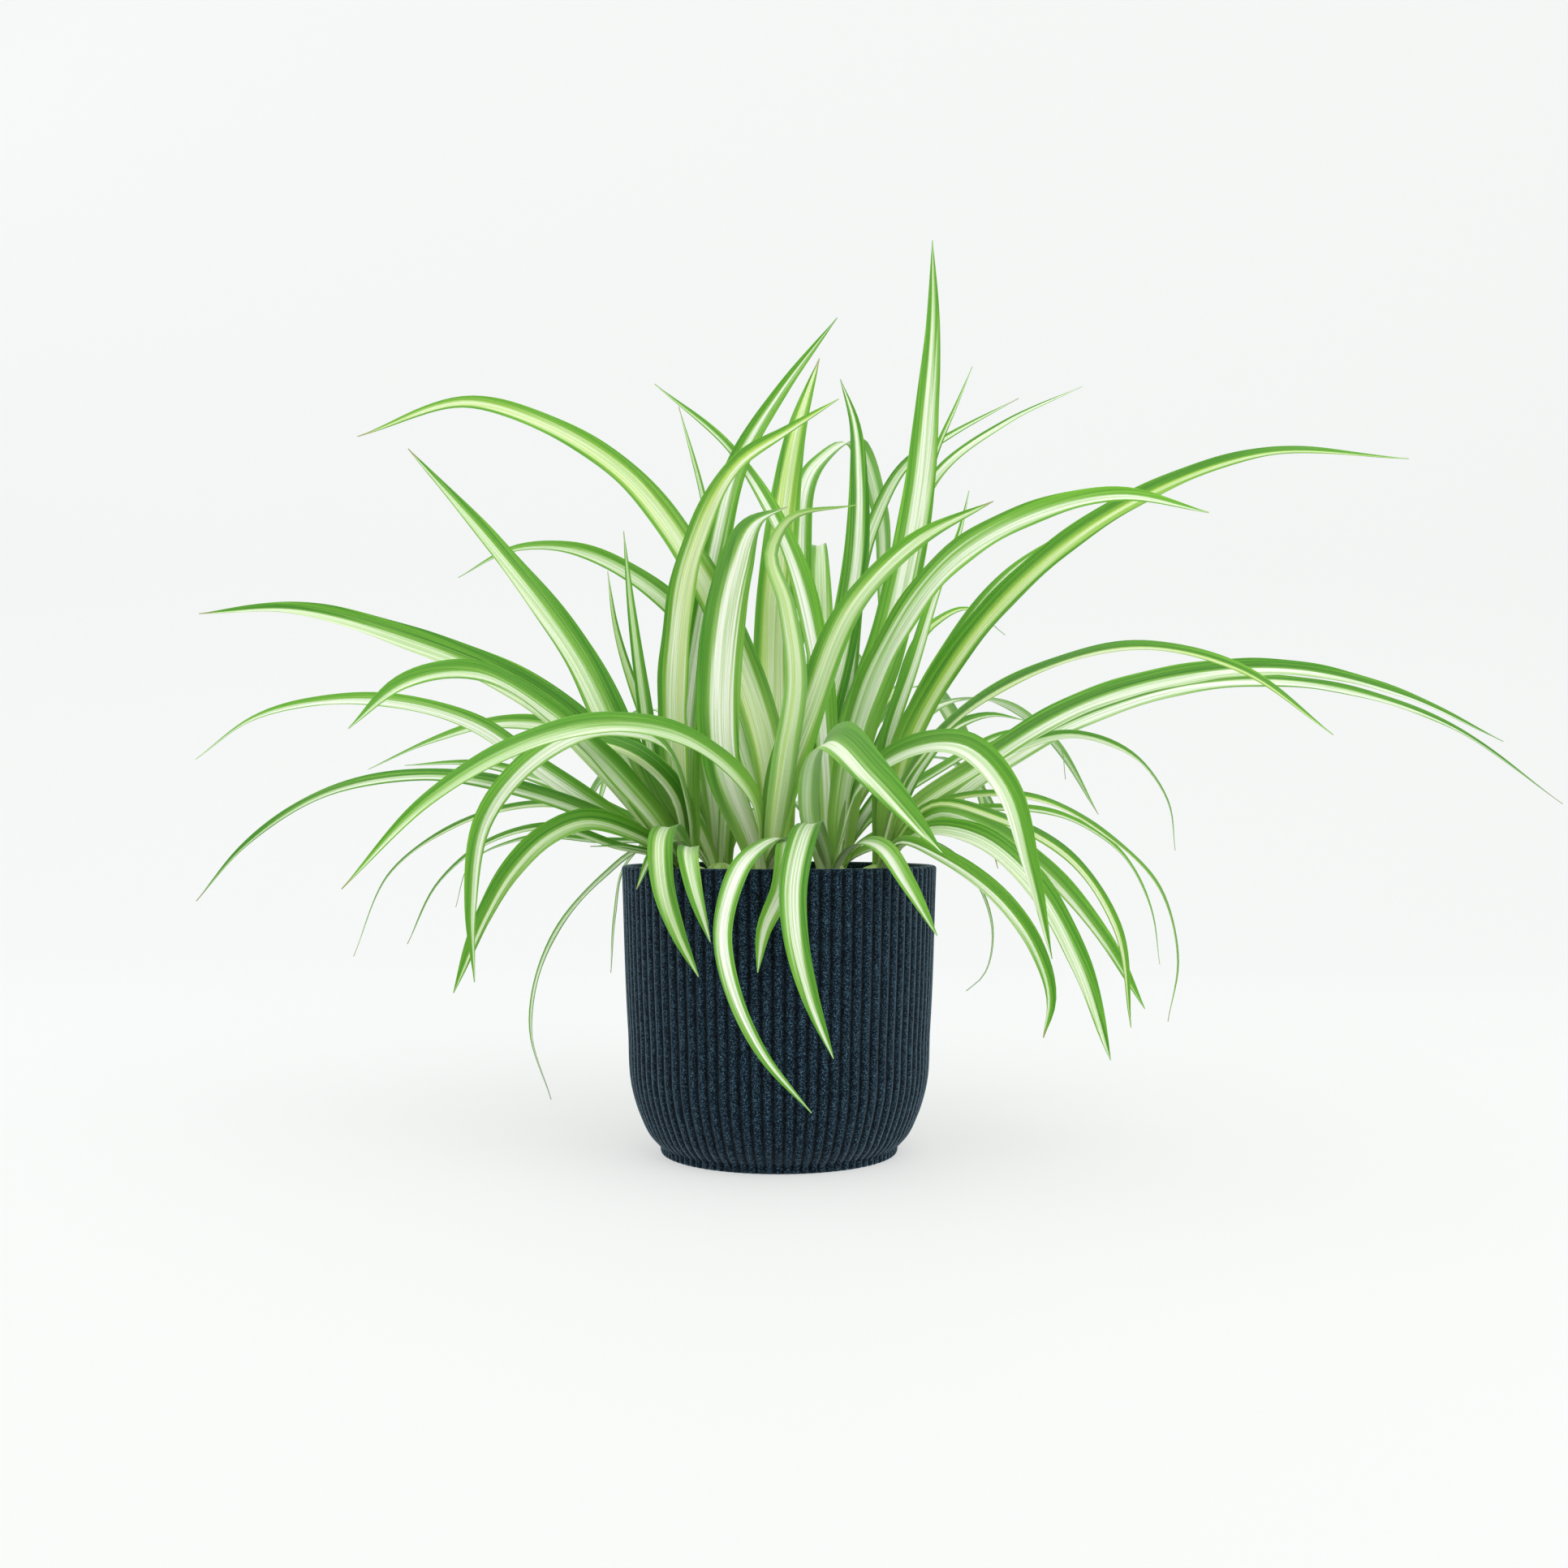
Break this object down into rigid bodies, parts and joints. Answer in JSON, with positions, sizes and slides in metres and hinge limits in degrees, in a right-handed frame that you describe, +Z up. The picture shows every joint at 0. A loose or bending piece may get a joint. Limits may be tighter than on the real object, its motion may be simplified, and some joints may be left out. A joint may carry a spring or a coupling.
{
  "type": "potted spider plant",
  "caption": "Variegated spider plant of arching striped leaves in rosettes, growing in soil in a round ribbed pot with a rounded foot.",
  "frame": {"origin": "centre of the pot's foot, on the surface that it stands on", "axes": "+Z up along the pot's axis, -Y towards the picture's viewer, +X to the viewer's right"},
  "size_m": [0.7642, 0.4987, 0.4784],
  "materials": {
    "pot": "matt moulded, finely grained, dark navy",
    "soil": null,
    "leaf": null
  },
  "bodies": {
    "root": {"pot": "pot", "soil": "soil", "rosette_left": "leaf", "rosette_front": "leaf", "rosette_front_right": "leaf", "rosette_right": "leaf", "rosette_middle": "leaf", "rosette_back_left": "leaf", "rosette_back_right": "leaf"}
  },
  "joints": []
}
